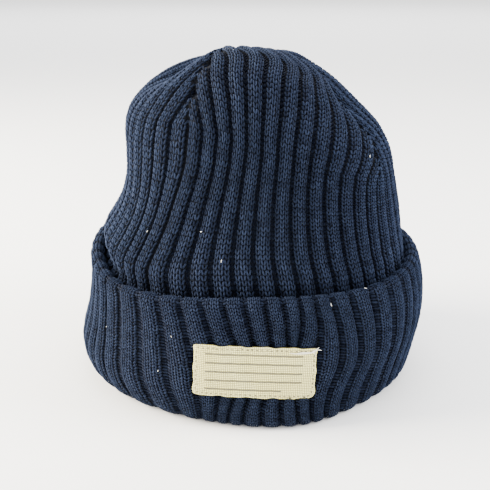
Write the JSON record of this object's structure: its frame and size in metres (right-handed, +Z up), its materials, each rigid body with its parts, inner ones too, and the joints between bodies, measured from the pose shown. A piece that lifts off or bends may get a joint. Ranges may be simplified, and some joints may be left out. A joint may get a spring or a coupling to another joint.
{
  "type": "knit cap",
  "caption": "Ribbed knit watch cap with a tapered crown, a turned-up cuff round the hem and a small woven label on the cuff's front.",
  "frame": {"origin": "on the floor under the middle of the cap, which stands on its hem", "axes": "+Z up through the crown, -Y towards the front where the label is, +X to the right of a viewer in front"},
  "size_m": [0.2014, 0.199, 0.188],
  "materials": {
    "rib_knit": "matt navy rib knit",
    "woven_label": "matt cream plain weave"
  },
  "bodies": {
    "root": {"crown": "rib_knit", "cuff": "rib_knit", "label": "woven_label"}
  },
  "joints": []
}
